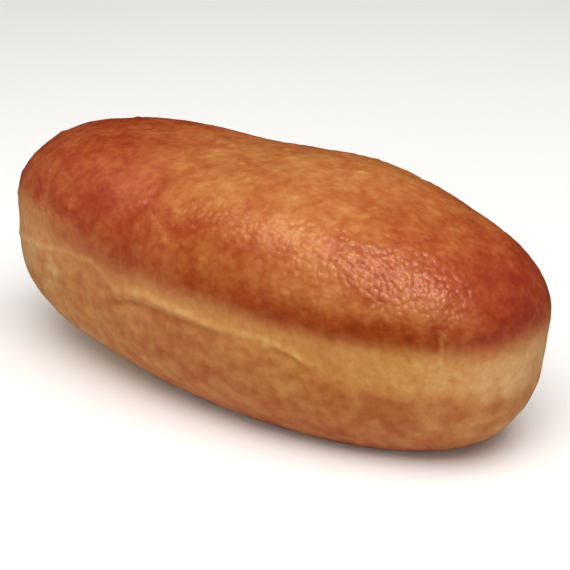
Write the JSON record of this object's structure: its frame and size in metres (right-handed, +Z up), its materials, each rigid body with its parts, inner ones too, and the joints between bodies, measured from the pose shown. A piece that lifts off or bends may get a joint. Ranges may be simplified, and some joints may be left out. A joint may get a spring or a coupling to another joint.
{
  "type": "bar doughnut",
  "caption": "Plain yeast-raised bar doughnut: a long rounded bar of fried dough with a browned crown, a browned belly and a pale band round its sides.",
  "frame": {"origin": "under the middle of the bar's box, on the surface that it rests on", "axes": "+X along the bar towards its lower, right end, +Z up through the crown, +Y to the back"},
  "size_m": [0.14, 0.0618, 0.0565],
  "materials": {
    "fried_dough": "fried yeast dough: satin red-brown crust above and below, matt cream band at the proof line"
  },
  "bodies": {
    "root": {"doughnut": "fried_dough"}
  },
  "joints": []
}
